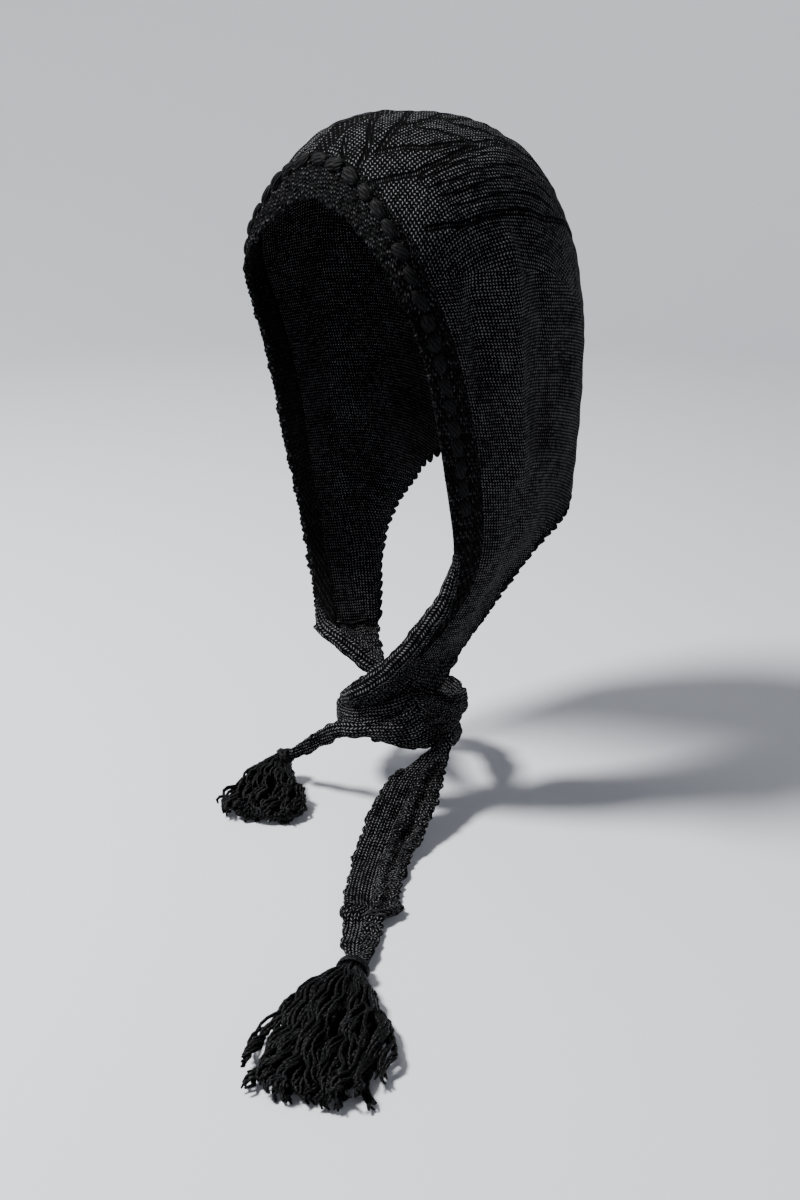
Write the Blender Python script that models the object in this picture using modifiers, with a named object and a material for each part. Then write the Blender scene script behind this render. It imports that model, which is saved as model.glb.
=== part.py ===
# A fine black knitted bonnet in metres, +Z up, face opening toward -Y, origin at the inside top of the crown.
# The cap is one patch of arches: v runs from the face edge (0) over the head to the nape edge (1),
# u runs along each arch from the tie on one side (-1) over the middle line (0) to the tie on the other (1).
import bmesh
import bpy
import numpy as np

WALL = 0.0030
GAP = 0.0012
BORDER_V = 0.105
BORDER_WALL = 0.0042
BORDER_STEPS = 162
PUFF_STEPS = 3
PUFF_HEIGHT = 0.0030
PUFF_HALF_V = 0.022
PUFFS_END_U = 0.72
CROWN_U = 54
CROWN_V = 13
PICOT_PITCH = 0.010
PICOT_BASE = 0.0030
PICOT_REACH = 0.0045
PICOT_WALL = 0.0026
TIE_SIDES = 10
TIE_STEPS = 58
FLOOR = -0.4665

# Outer face of the cap's left half in millimetres, a row per arch from the face edge to the nape edge.
ARCH_AT = np.array([0, 0.09, 0.20, 0.34, 0.48, 0.63, 0.80, 1.0])
ALONG_AT = np.array([0, 0.125, 0.31, 0.50, 0.67, 0.82, 1.0])
ARCHES = np.array([
    # middle         upper           parietal          temple            cheek            jaw              tie root
    [(0, -79, -43), (40, -79, -59), (71, -76, -94), (78, -57, -145), (79, -39, -225), (74, -30, -286), (40, -47, -348)],
    [(0, -72, -20), (44, -71, -39), (78, -62, -87), (84, -37, -148), (85, -19, -228), (76, -15, -290), (41, -33, -352)],
    [(0, -45, -1), (49, -42, -20), (84, -34, -84), (88, -14, -156), (88, -2, -234), (76, -3, -294), (42, -22, -355)],
    [(0, 4, 3), (52, 4, -14), (87, 3, -86), (89, 12, -166), (88, 16, -240), (75, 8, -297), (43, -12, -358)],
    [(0, 58, -6), (51, 55, -24), (85, 46, -95), (87, 41, -178), (86, 33, -247), (72, 17, -298), (43, -3, -360)],
    [(0, 104, -40), (47, 98, -59), (79, 81, -120), (83, 63, -196), (81, 47, -256), (69, 24, -298), (42, 3, -361)],
    [(0, 128, -112), (43, 121, -128), (72, 100, -170), (78, 79, -224), (75, 58, -264), (64, 31, -298), (41, 7, -362)],
    [(0, 126, -232), (39, 121, -235), (61, 108, -245), (71, 91, -258), (68, 70, -275), (58, 35, -298), (40, 10, -362)],
]) / 1000

# The row of puffs: how far back from the face edge (v) it lies at each distance from the middle line (u).
PUFF_ROW_U = np.array([0, 0.07, 0.16, 0.29, 0.38, 0.50, 0.62, 0.72])
PUFF_ROW_V = np.array([0.084, 0.084, 0.078, 0.060, 0.047, 0.036, 0.038, 0.040])

# Folds in millimetres: start of the fold line, its end, half width, height out of the cloth (minus is a hollow).
FOLDS = (
    # start             end                width  height
    ((85, -28, -95), (88, -18, -150), 9, -4.0),
    ((86, 2, -70), (88, 14, -215), 10, 3.5),
    ((84, 34, -95), (86, 40, -200), 9, -3.0),
    ((74, 76, -120), (78, 66, -225), 12, 3.0),
    ((50, 100, -110), (56, 104, -215), 11, -3.0),
    ((16, 118, -120), (20, 126, -225), 12, 3.0),
    ((-18, 118, -110), (-22, 124, -225), 11, -3.0),
    ((-56, 96, -110), (-60, 98, -225), 12, 3.0),
    ((-84, 30, -80), (-87, 34, -210), 10, -3.0),
    ((-86, 2, -80), (-88, 10, -205), 11, 3.0),
    ((60, -20, -48), (66, 60, -62), 8, -2.0),
    ((-60, -16, -48), (-66, 62, -62), 8, -2.0),
    ((84, 20, -252), (66, 10, -310), 8, -2.5),
    ((-84, 20, -252), (-66, 10, -310), 8, -2.5),
)

# Ties in millimetres: one edge, the other edge and the thickness at each station. The places are given
# along two level directions, across (the diagonal x = y) and out (the diagonal x = -y), and up.
LEFT_TIE = np.array([
    # edge a: across, out, up   edge b: across, out, up   thickness
    (-5, 61.5, -348.9, 37, 20, -363.6, 3.0),
    (-13, 58, -361, 20, 35, -384, 3.6),
    (-28, 52, -373, -9, 40, -392, 5.0),
    (-42, 39, -385, -30, 33, -400, 6.0),
    (-46, 14, -390, -46, 12, -405, 7.0),
    (-31, -15, -389, -31, -16, -404, 7.0),
    (0, -31, -389, 0, -31, -404, 7.0),
    (29, -18, -397, 29, -18, -412, 6.5),
    (37, 9, -408, 37, 9, -422, 6.5),
    (32, 38, -407, 32, 38, -420, 6.5),
    (13, 51, -407, 13, 51, -417, 6.0),
    (-8, 55, -411, -8, 55, -421, 6.0),
    (-23, 46, -413, -23, 46, -425, 6.0),
    (-10, 36, -415, -13, 37, -428, 5.0),
    (24, 44, -424, 0, 45, -431, 4.0),
    (26, 71, -430, -6, 70, -429, 3.6),
    (20, 86, -442, -21, 83, -441, 3.4),
    (15, 103, -452, -28, 100, -450, 3.4),
    (5, 126, -461, -36, 129, -461, 3.4),
    (-2, 177, -463.5, -40, 177, -463.5, 3.6),
    (-6, 201, -463, -38, 199, -463, 4.2),
    (-15, 227, -462, -38, 224, -462, 6.0),
    (-23, 243, -461, -33, 241, -461, 8.0),
])
RIGHT_TIE = np.array([
    (-61.5, 5, -348.9, -20, -37, -363.6, 3.0),
    (-50, 16, -369, -18, -2, -373, 3.6),
    (-33, 29, -381, -12, 19, -374, 5.0),
    (-11, 31, -394, -6, 29, -378, 6.0),
    (15, 26, -402, 15, 25, -388, 6.0),
    (39, 9, -401, 39, 9, -387, 6.5),
    (46, -12, -405, 46, -12, -391, 6.5),
    (30, -34, -406, 30, -34, -392, 6.5),
    (0, -44, -406, 0, -44, -392, 6.5),
    (-33, -31, -414, -33, -31, -401, 6.5),
    (-47, 6, -425, -47, 6, -412, 6.5),
    (-38, 32, -422, -38, 32, -410, 6.5),
    (-32, 45, -406, -33, 45, -394, 6.0),
    (-11, 57, -392, -12, 57, -379, 6.0),
    (1, 58, -387, 9, 57, -375, 6.0),
    (6, 62, -394, 19, 60, -392, 6.0),
    (-5, 65, -395, -4, 65, -408, 6.0),
    (-20, 66, -392, -22, 66, -404, 6.0),
    (-40, 60, -394, -40, 60, -404, 6.5),
    (-60, 45, -411, -59, 45, -420, 6.5),
    (-75, 30, -428, -74, 30, -437, 6.5),
    (-83, 20, -437, -81, 20, -445, 7.0),
])

# Tassels in millimetres: middle of each section, half width, half height, share of the locks' depth.
FRONT_TASSEL = np.array([
    # x     y     z    half width, half height, locks
    (152.3, -192.8, -460.5, 5.5, 5.0, 0.00),
    (154.5, -197, -458.8, 8.5, 7.0, 0.02),
    (157.5, -202.5, -457.5, 8.0, 7.0, 0.04),
    (162, -210, -456.5, 12, 9.0, 0.10),
    (168, -219, -456.5, 21, 9.8, 0.16),
    (177, -232, -456.5, 30, 9.8, 0.20),
    (187, -247, -457, 37, 9.3, 0.22),
    (196, -262, -457.5, 41, 8.6, 0.24),
    (204, -275, -458.5, 38, 7.6, 0.26),
    (210, -285, -459.5, 29, 6.6, 0.28),
    (214.5, -292.5, -460.5, 15, 5.4, 0.28),
])
SIDE_TASSEL = np.array([
    (-46.0, -71.9, -442.5, 4.0, 4.0, 0.00),
    (-49.0, -72.8, -444.9, 6.8, 6.2, 0.02),
    (-50.8, -76.5, -447.6, 7.0, 6.5, 0.04),
    (-49.0, -83.0, -450.4, 12, 9.5, 0.10),
    (-43.5, -91, -452.8, 19, 11.5, 0.16),
    (-38, -100, -455.3, 26, 10.8, 0.20),
    (-31, -109, -457.2, 31, 9.2, 0.22),
    (-25, -117, -458.8, 33, 7.8, 0.24),
    (-21, -123, -460.2, 27, 6.2, 0.26),
    (-18, -127, -461.3, 17, 5.0, 0.26),
])
TASSEL_ROUND = 40
TASSEL_LOCKS = 10


def clear_scene():
    for item in list(bpy.data.objects):
        bpy.data.objects.remove(item, do_unlink=True)


def spline(knots, values, at):
    """Natural cubic through the values at the knots, for any number of columns."""
    knots = np.asarray(knots, float)
    values = np.asarray(values, float)
    count = len(knots)
    step = np.diff(knots)
    system = np.eye(count)
    right = np.zeros_like(values)
    for i in range(1, count - 1):
        system[i, i - 1:i + 2] = (step[i - 1], 2 * (step[i - 1] + step[i]), step[i])
        right[i] = 6 * ((values[i + 1] - values[i]) / step[i] - (values[i] - values[i - 1]) / step[i - 1])
    bend = np.linalg.solve(system, right.reshape(count, -1)).reshape(values.shape)
    at = np.asarray(at, float)
    i = np.clip(np.searchsorted(knots, at) - 1, 0, count - 2)
    spread = at.shape + (1,) * (values.ndim - 1)
    before = (at - knots[i]).reshape(spread)
    after = (knots[i + 1] - at).reshape(spread)
    width = step[i].reshape(spread)
    cubic = (bend[i] * after ** 3 + bend[i + 1] * before ** 3) / (6 * width)
    start = values[i] / width - bend[i] * width / 6
    end = values[i + 1] / width - bend[i + 1] * width / 6
    return cubic + start * after + end * before


def grid_normals(points):
    """Unit normals of a grid of points, outward for u across and v backward."""
    along_u = np.gradient(points, axis=0)
    along_v = np.gradient(points, axis=1)
    normal = np.cross(along_u, along_v)
    return normal / np.maximum(np.linalg.norm(normal, axis=2, keepdims=True), 1e-12)


def cap_points(us, vs):
    """The cap's outer face at each u (rows) and v (columns): arches by spline, then the folds."""
    mirror = np.array([-1.0, 1.0, 1.0])
    whole = np.concatenate([ARCHES[:, :0:-1] * mirror, ARCHES], axis=1)
    along = np.concatenate([-ALONG_AT[:0:-1], ALONG_AT])
    arches = spline(ARCH_AT, whole, vs)
    points = spline(along, np.swapaxes(arches, 0, 1), us)
    normal = grid_normals(points)
    lift = np.zeros(points.shape[:2])
    for start, end, width, height in FOLDS:
        a = np.array(start) / 1000
        b = np.array(end) / 1000
        t = np.clip((points - a) @ (b - a) / ((b - a) @ (b - a)), 0, 1)
        off = np.linalg.norm(points - (a + t[..., None] * (b - a)), axis=2)
        lift += height / 1000 * np.exp(-(off / (width / 1000)) ** 2)
    calm = np.clip((vs - 0.04) / 0.12, 0, 1) * np.clip((1.0 - vs) / 0.06, 0, 1)
    return points + normal * (lift * calm[None, :])[..., None]


def make_object(name, points, faces, colour, collection):
    mesh = bpy.data.meshes.new(name)
    mesh.from_pydata([tuple(p) for p in points], [], [tuple(f) for f in faces])
    mesh.validate()
    shell = bmesh.new()
    shell.from_mesh(mesh)
    if all(edge.is_manifold for edge in shell.edges):
        bmesh.ops.recalc_face_normals(shell, faces=shell.faces)
        shell.to_mesh(mesh)
    shell.free()
    item = bpy.data.objects.new(name, mesh)
    collection.objects.link(item)
    material = bpy.data.materials.new(name + "_yarn")
    material.use_nodes = True
    shader = material.node_tree.nodes["Principled BSDF"]
    shader.inputs["Base Color"].default_value = (*colour, 1.0)
    shader.inputs["Roughness"].default_value = 0.85
    mesh.materials.append(material)
    mesh.polygons.foreach_set("use_smooth", np.ones(len(mesh.polygons), bool))
    return item


def sheet(name, points, wall, colour, collection):
    """An open grid of points given its wall by Solidify, inward from the outer face."""
    rows, columns = points.shape[:2]
    index = np.arange(rows * columns).reshape(rows, columns)
    faces = np.stack([index[:-1, :-1], index[1:, :-1], index[1:, 1:], index[:-1, 1:]], axis=2).reshape(-1, 4)
    item = make_object(name, points.reshape(-1, 3), faces, colour, collection)
    wall_modifier = item.modifiers.new("wall", "SOLIDIFY")
    wall_modifier.thickness = wall
    wall_modifier.offset = -1.0
    wall_modifier.use_even_offset = False
    return item


def loft(name, sections, colour, collection):
    """A closed solid through rings of points, with flat caps."""
    rings, around = sections.shape[:2]
    index = np.arange(rings * around).reshape(rings, around)
    turned = np.roll(index, -1, axis=1)
    faces = np.stack([index[:-1], turned[:-1], turned[1:], index[1:]], axis=2).reshape(-1, 4).tolist()
    faces.append(index[0, ::-1].tolist())
    faces.append(index[-1].tolist())
    return make_object(name, sections.reshape(-1, 3), faces, colour, collection)


def straight_between(us, coarse, values):
    """Values at each u on straight runs between the coarse ones, so that neighbours share one edge line."""
    return np.stack([np.interp(us, coarse, values[:, k]) for k in range(3)], axis=1)


def border_sheet(collection):
    """The band along the face edge: thicker, with a bumpy rim and a row of raised puffs."""
    us = np.linspace(-1, 1, BORDER_STEPS + 1)
    vs = np.array([0.0, 0.32, 0.56, 0.80, 1.0]) * (BORDER_V - 0.0015)
    points = cap_points(us, vs)
    coarse = np.linspace(-1, 1, CROWN_U + 1)
    points[:, -1] = straight_between(us, coarse, cap_points(coarse, vs)[:, -1])
    rise = (np.arange(BORDER_STEPS + 1) % PUFF_STEPS != 0) * np.clip((PUFFS_END_U - np.abs(us)) / 0.04, 0, 1)
    centre = np.interp(np.abs(us), PUFF_ROW_U, PUFF_ROW_V)
    across = np.exp(-((vs[None, :] - centre[:, None]) / PUFF_HALF_V) ** 2)
    across[:, -1] *= 0.3
    rim = 0.0009 * np.clip(1 - vs / 0.02, 0, 1)[None, :] * np.cos(np.pi * np.arange(BORDER_STEPS + 1))[:, None]
    body = 0.0008 * np.sin(np.pi * vs / vs[-1])[None, :]
    lift = PUFF_HEIGHT * rise[:, None] * across + rim + body
    points = points + grid_normals(points) * lift[..., None]
    return sheet("front_border", points, BORDER_WALL, (0.012, 0.012, 0.013), collection)


def crown_sheet(collection):
    us = np.linspace(-1, 1, CROWN_U + 1)
    start = BORDER_V + 0.0015
    vs = start + (1.0 - start) * np.linspace(0, 1, CROWN_V + 1)
    return sheet("crown", cap_points(us, vs), WALL, (0.014, 0.014, 0.015), collection)


def edging_sheet(collection):
    """Picots along the nape edge: the strip reaches out by a base and a row of half waves."""
    coarse = np.linspace(-1, 1, CROWN_U + 1)
    last = 1.0 - (1.0 - BORDER_V - 0.0015) / CROWN_V
    edge = cap_points(coarse, np.array([last, 1.0]))
    fine = np.linspace(-1, 1, 801)
    line = straight_between(fine, coarse, edge[:, 1])
    away = straight_between(fine, coarse, edge[:, 1] - edge[:, 0])
    away /= np.linalg.norm(away, axis=1, keepdims=True)
    travelled = np.concatenate([[0], np.cumsum(np.linalg.norm(np.diff(line, axis=0), axis=1))])
    picots = int(round(travelled[-1] / PICOT_PITCH))
    at = np.linspace(0, travelled[-1], picots * 4 + 1)
    line = np.stack([np.interp(at, travelled, line[:, k]) for k in range(3)], axis=1)
    away = np.stack([np.interp(at, travelled, away[:, k]) for k in range(3)], axis=1)
    wave = np.abs(np.sin(np.pi * at / travelled[-1] * picots)) ** 0.7
    reach = PICOT_BASE + PICOT_REACH * wave
    share = np.array([0.0, 1.0])
    out = GAP + share[None, :] * reach[:, None]
    points = line[:, None, :] + away[:, None, :] * out[..., None]
    return sheet("nape_edging", points, PICOT_WALL, (0.012, 0.012, 0.013), collection)


def tie_loft(name, table, collection):
    """A knitted band through its stations: lens-shaped sections between its two edges."""
    knots = np.arange(len(table), dtype=float)
    at = np.linspace(0, knots[-1], TIE_STEPS + 1)
    values = spline(knots, table / 1000, at)
    half = np.sqrt(0.5)
    a = np.stack([(values[:, 0] + values[:, 1]) * half, (values[:, 0] - values[:, 1]) * half, values[:, 2]], axis=1)
    b = np.stack([(values[:, 3] + values[:, 4]) * half, (values[:, 3] - values[:, 4]) * half, values[:, 5]], axis=1)
    thick = np.interp(at, knots, table[:, 6]) / 1000
    middle = (a + b) / 2
    across = (b - a) / 2
    ahead = np.gradient(middle, axis=0)
    face = np.cross(ahead, across)
    face /= np.linalg.norm(face, axis=1, keepdims=True)
    angle = 2 * np.pi * (np.arange(TIE_SIDES) + 0.5) / TIE_SIDES
    wide = np.sign(np.cos(angle)) * np.abs(np.cos(angle)) ** 0.7
    deep = np.sign(np.sin(angle)) * np.abs(np.sin(angle)) ** 0.6
    sections = middle[:, None] + across[:, None] * wide[None, :, None]
    sections = sections + face[:, None] * (thick / 2)[:, None, None] * deep[None, :, None]
    return loft(name, sections, (0.013, 0.013, 0.014), collection)


def tassel_loft(name, table, seed, collection):
    """A bound head that opens into locks fused side by side, their tips of unlike length."""
    knots = np.arange(len(table), dtype=float)
    at = np.linspace(0, knots[-1], 13)
    values = spline(knots, table / 1000, at)
    middle = values[:, :3]
    ahead = np.gradient(middle, axis=0)
    ahead /= np.linalg.norm(ahead, axis=1, keepdims=True)
    side = np.cross(ahead, (0.0, 0.0, 1.0))
    side /= np.linalg.norm(side, axis=1, keepdims=True)
    up = np.cross(side, ahead)
    angle = 2 * np.pi * np.arange(TASSEL_ROUND) / TASSEL_ROUND
    depth = np.interp(at, knots, table[:, 5])
    lobes = 1 - depth[:, None] * (0.5 + 0.5 * np.cos(TASSEL_LOCKS * angle + seed))[None, :]
    tips = 0.0045 * np.sin(TASSEL_LOCKS / 2 * angle + seed) + 0.003 * np.sin(3 * angle + 2 * seed)
    late = np.clip((at / knots[-1] - 0.6) / 0.4, 0, 1) ** 2
    wide = values[:, 3, None] * lobes * np.cos(angle)[None, :]
    high = values[:, 4, None] * lobes * np.sin(angle)[None, :]
    sections = middle[:, None] + side[:, None] * wide[..., None] + up[:, None] * high[..., None]
    sections = sections + ahead[:, None] * (late[:, None] * tips[None, :])[..., None]
    sections[..., 2] = np.maximum(sections[..., 2], FLOOR)
    return loft(name, sections, (0.011, 0.011, 0.012), collection)


clear_scene()
bonnet = bpy.data.collections.new("knitted_bonnet")
bpy.context.scene.collection.children.link(bonnet)
crown_sheet(bonnet)
border_sheet(bonnet)
edging_sheet(bonnet)
tie_loft("tie_left", LEFT_TIE, bonnet)
tie_loft("tie_right", RIGHT_TIE, bonnet)
tassel_loft("tassel_front", FRONT_TASSEL, 0.6, bonnet)
tassel_loft("tassel_side", SIDE_TASSEL, 2.1, bonnet)
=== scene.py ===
import math

import bpy
import numpy as np
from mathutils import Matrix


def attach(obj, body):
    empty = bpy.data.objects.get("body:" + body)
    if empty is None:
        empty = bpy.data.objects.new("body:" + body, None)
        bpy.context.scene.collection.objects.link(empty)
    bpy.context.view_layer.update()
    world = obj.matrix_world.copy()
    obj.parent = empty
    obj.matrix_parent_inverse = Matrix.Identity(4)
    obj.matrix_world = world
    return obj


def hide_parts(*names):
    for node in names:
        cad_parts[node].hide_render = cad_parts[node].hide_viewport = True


# a fine black knitted bonnet: every shape is a surface worked out with numpy on a grid of two parameters
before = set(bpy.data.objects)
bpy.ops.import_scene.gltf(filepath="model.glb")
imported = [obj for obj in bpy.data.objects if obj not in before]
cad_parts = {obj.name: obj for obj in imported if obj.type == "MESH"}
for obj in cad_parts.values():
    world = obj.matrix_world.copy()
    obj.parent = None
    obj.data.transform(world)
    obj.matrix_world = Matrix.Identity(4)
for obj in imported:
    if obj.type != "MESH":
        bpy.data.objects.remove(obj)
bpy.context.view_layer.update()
floorHeight = -0.4665
print("frame loaded")


def addObject(name, data):
    made = bpy.data.objects.new(name, data)
    bpy.context.scene.collection.objects.link(made)
    return made


def addMesh(name, points, faces, material):
    mesh = bpy.data.meshes.new(name)
    mesh.from_pydata(points.tolist(), [], faces)
    mesh.polygons.foreach_set("use_smooth", np.ones(len(mesh.polygons), bool))
    mesh.materials.append(material)
    return addObject(name, mesh)


view = dict(azimuth=45.0, elevation=22.5, distance=1.033, lens=43.5, aim=(-0.0025, -0.0025, -0.328))


def aimCamera(azimuth, elevation, distance, lens, aim):
    # the camera stands back from its aim, turned by the azimuth and lifted by the elevation
    turn, lift = math.radians(azimuth), math.radians(elevation)
    back = np.array([math.sin(turn) * math.cos(lift), -math.cos(turn) * math.cos(lift), math.sin(lift)])
    camera = addObject("camera", bpy.data.cameras.new("camera"))
    camera.data.lens = lens
    camera.data.sensor_width = 36.0
    camera.data.clip_start = 0.01
    camera.location = np.array(aim) + back * distance
    camera.rotation_euler = (math.pi / 2 - lift, 0.0, turn)
    bpy.context.scene.camera = camera


aimCamera(**view)

room = dict(colour=(0.56, 0.57, 0.6), roughness=0.75, inner=0.6, bendAt=1.5, radius=0.9, height=3.0)


def makeRoom(colour, roughness, inner, bendAt, radius, height):
    # floor and wall in one sweep turned round the object: level, then a quarter circle, then upright
    bend = np.linspace(0, math.pi / 2, 25)
    reach = np.concatenate([[inner], bendAt + radius * np.sin(bend), [bendAt + radius]])[:, None]
    high = np.concatenate([[0.0], radius * (1 - np.cos(bend)), [height]])[:, None]
    turn = np.linspace(0, 2 * math.pi, 144, endpoint=False)
    points = np.stack([reach * np.cos(turn), reach * np.sin(turn), high + floorHeight + 0 * turn], axis=-1)
    index = np.arange(points.shape[0] * points.shape[1]).reshape(points.shape[:2])
    after = np.roll(index, -1, axis=1)
    quads = np.stack([index[:-1], index[1:], after[1:], after[:-1]], axis=-1).reshape(-1, 4)
    material = bpy.data.materials.new("studio_floor")
    material.use_nodes = True
    shader = material.node_tree.nodes["Principled BSDF"]
    shader.inputs["Base Color"].default_value = (*colour, 1.0)
    shader.inputs["Roughness"].default_value = roughness
    floor = addMesh("studio_floor", points.reshape(-1, 3), quads.tolist() + [index[0].tolist()], material)


makeRoom(**room)

lamps = dict(
    key=dict(spot=(-0.62, -0.9, 1.32), aim=(0.0, 0.0, -0.15), size=0.45, power=116.0),
    top=dict(spot=(-0.7, 0.0, 1.5), aim=(0.0, 0.0, -0.1), size=0.8, power=7.0),
)
sky = dict(colour=(0.93, 0.95, 1.0), strength=0.03)


def addLamp(name, spot, aim, size, power):
    # a round lamp turned from its spot to its aim
    lamp = addObject(name, bpy.data.lights.new(name, "AREA"))
    lamp.data.shape = "DISK"
    lamp.data.size = size
    lamp.data.energy = power
    lamp.location = spot
    x, y, z = np.array(aim) - np.array(spot)
    lamp.rotation_euler = (math.atan2(math.hypot(x, y), -z), 0.0, math.atan2(y, x) - math.pi / 2)


for lampName, lamp in lamps.items():
    addLamp(lampName, **lamp)
world = bpy.data.worlds.new("studio")
world.use_nodes = True
background = world.node_tree.nodes["Background"]
background.inputs["Color"].default_value = (*sky["colour"], 1.0)
background.inputs["Strength"].default_value = sky["strength"]
bpy.context.scene.world = world
print("camera, floor and lights set")


class Wire:
    # wraps a socket so that a sum written in Python adds its Math nodes
    def __init__(self, shader, socket):
        self.shader = shader
        self.socket = socket

    def math(self, operation, *others):
        return self.shader.node("ShaderNodeMath", {"operation": operation}, [self, *others])

    def __add__(self, other):
        return self.math("ADD", other)

    __radd__ = __add__

    def __sub__(self, other):
        return self.math("SUBTRACT", other)

    def __rsub__(self, other):
        return self.shader.node("ShaderNodeMath", {"operation": "SUBTRACT"}, [other, self])

    def __mul__(self, other):
        return self.math("MULTIPLY", other)

    def __abs__(self):
        return self.math("ABSOLUTE")


class YarnShader:
    def __init__(self, name):
        self.material = bpy.data.materials.new(name)
        self.material.use_nodes = True
        self.tree = self.material.node_tree
        self.surface = self.tree.nodes["Principled BSDF"]

    def node(self, kind, settings=None, inputs=(), output=0):
        made = self.tree.nodes.new(kind)
        for key, value in (settings or {}).items():
            setattr(made, key, value)
        pairs = inputs.items() if isinstance(inputs, dict) else enumerate(inputs)
        for key, value in pairs:
            if isinstance(value, Wire):
                self.tree.links.new(value.socket, made.inputs[key])
            else:
                made.inputs[key].default_value = value
        return Wire(self, made.outputs[output])

    def uv(self, layer):
        source = self.node("ShaderNodeUVMap", {"uv_map": layer})
        first = self.node("ShaderNodeSeparateXYZ", inputs=[source])
        return first, Wire(self, first.socket.node.outputs[1])

    def attribute(self, name):
        return self.node("ShaderNodeAttribute", {"attribute_name": name}, output=2)

    def noise(self, scale, detail=2.0):
        # noise through the piece's own place, the same from every side
        place = self.node("ShaderNodeTexCoord", output=3)
        return self.node("ShaderNodeTexNoise", inputs={"Vector": place, "Scale": scale, "Detail": detail})

    def chance(self, across, along):
        # a steady random number for each stitch
        cell = self.node("ShaderNodeCombineXYZ", inputs=[across.math("FLOOR"), along.math("FLOOR"), 0.0])
        return self.node("ShaderNodeTexWhiteNoise", {"noise_dimensions": "3D"}, {"Vector": cell})

    def ramp(self, value, low, high):
        # 0 below low and 1 above high, smooth between them
        settings = {"interpolation_type": "SMOOTHSTEP"}
        return self.node("ShaderNodeMapRange", settings, {"Value": value, "From Min": low, "From Max": high})

    def blend(self, share, first, second):
        # a mix of two colours, each a wire or a triple
        first, second = (value if isinstance(value, Wire) else (*value, 1.0) for value in (first, second))
        return self.node("ShaderNodeMix", {"data_type": "RGBA"}, {0: share, 6: first, 7: second}, 2)

    def shades(self, look, low, lowRange, high, highRange):
        # from painted shade to the yarn's mid colour where low crosses its range, and on to a painted
        # highlight where high crosses its own
        colour = self.blend(self.ramp(low, *lowRange), look["paintedShade"], look["mid"])
        return self.blend(self.ramp(high, *highRange), colour, look["paintedHighlight"])

    def finish(self, colour, rough, relief, look):
        # the relief, 0 to about 1, becomes a bump of the look's depth
        settings = {"Strength": 1.0, "Distance": look["depth"], "Height": relief}
        bump = self.node("ShaderNodeBump", inputs=settings)
        for key, wire in (("Normal", bump), ("Base Color", colour), ("Roughness", rough)):
            self.tree.links.new(wire.socket, self.surface.inputs[key])
        self.surface.inputs["Specular IOR Level"].default_value = look["shine"]
        return self.material


def wave(value):
    # 0 to 1 and back over each whole number: half of one plus the cosine of the full turn
    return (value * (2 * math.pi)).math("COSINE") * 0.5 + 0.5


knitLook = dict(
    # the first colour is painted shade for the gaps between stitches, the last a painted highlight for the
    # stitch tops; mid is the black yarn itself
    paintedShade=(0.0004, 0.0004, 0.0005), mid=(0.0065, 0.0065, 0.007), paintedHighlight=(0.13, 0.13, 0.136),
    depth=0.0013, rough=0.36, dull=0.55, shine=0.045, fibreScale=2600.0,
    driftScale=90.0, wander=0.22, patchScale=35.0, legs=0.7, rows=0.97, slant=0.5,
    midRange=(0.22, 0.5), highlightRange=(0.42, 0.85),
    # the lace: ranges of the marks and the heights of what they show
    line=(1.5, 2.1), heart=(3.0, 3.5), spine=(1.0, 1.5), inside=(2.2, 2.8),
    beadRange=(0.3, 0.9), beadHeight=0.62, dotScale=0.55, dotRange=(0.6, 1.0), dotHeight=0.7,
)


def knitMaterial(name, look):
    # stockinette in units of one leg: each leg is a bead between the cosines of its column and its row,
    # slanting to one side in the even columns and to the other side in the odd ones.
    # the lace mark is 4 on a line, one less for each mm away: two sunk lines coloured with painted shade and a
    # row of dots between them.
    # the seed mark is 8 on the spine, one less for each mm away: a chequer of single dots
    yarn = YarnShader(name)
    across, along = yarn.uv("stitches")
    drift = yarn.noise(look["driftScale"], 3.0) - 0.5
    across = across + drift * look["wander"]
    along = along + drift * (look["wander"] * 1.3)
    out = across.math("FRACT") - 0.5
    odd = across.math("FLOOR").math("FLOORED_MODULO", 2.0)
    leg = wave(across + 0.5)
    turned = wave(along + out * (odd * 2.0 - 1.0) * look["slant"])
    plain = (leg * look["legs"] + (1.0 - look["legs"])) * (turned * look["rows"] + (1.0 - look["rows"]))
    wideAcross = across * look["dotScale"]
    wideAlong = along * look["dotScale"]
    dots = wave(wideAcross) * wave(wideAlong)
    offset = wave(wideAcross + 0.5) * wave(wideAlong + 0.5)
    chequer = yarn.ramp(dots.math("MAXIMUM", offset), *look["dotRange"])
    near = yarn.attribute("lace")
    spine = yarn.attribute("seed")
    beads = yarn.ramp(near, *look["heart"]) * yarn.ramp(wave(across + along), *look["beadRange"])
    height = plain + (beads * look["beadHeight"] - plain) * yarn.ramp(near, *look["line"])
    inside = yarn.ramp(spine, *look["inside"])
    height = height + (chequer * inside * look["dotHeight"] - height) * yarn.ramp(spine, *look["spine"])
    fibre = yarn.noise(look["fibreScale"], 1.0)
    chance = yarn.chance(across, along)
    patch = yarn.noise(look["patchScale"], 3.0)
    # the height colours the stitch: painted shade in the low gaps and sunk lines, painted highlights on the
    # tops, more of them in random patches
    paintedLight = height * (0.6 + chance * 0.6)
    colour = yarn.shades(look, paintedLight, look["midRange"], paintedLight * (0.6 + patch * 0.9), look["highlightRange"])
    rough = look["rough"] + (fibre - 0.5) * 0.3 + (1.0 - height) * look["dull"] + (1.0 - chance) * 0.12
    return yarn.finish(colour, rough, height + fibre * 0.15 + chance * 0.2, look)


# the border's last colour is a dimmer painted highlight for the loop tops; its painted shade for the gaps
# comes from the knit look
borderLook = dict(knitLook, depth=0.0009, mid=(0.0045, 0.0045, 0.005), paintedHighlight=(0.042, 0.042, 0.045),
              driftScale=160.0, wander=0.9, fibreScale=2400.0, midRange=(0.1, 0.7),
              highlightRange=(0.6, 1.0), bend=0.35)


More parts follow.
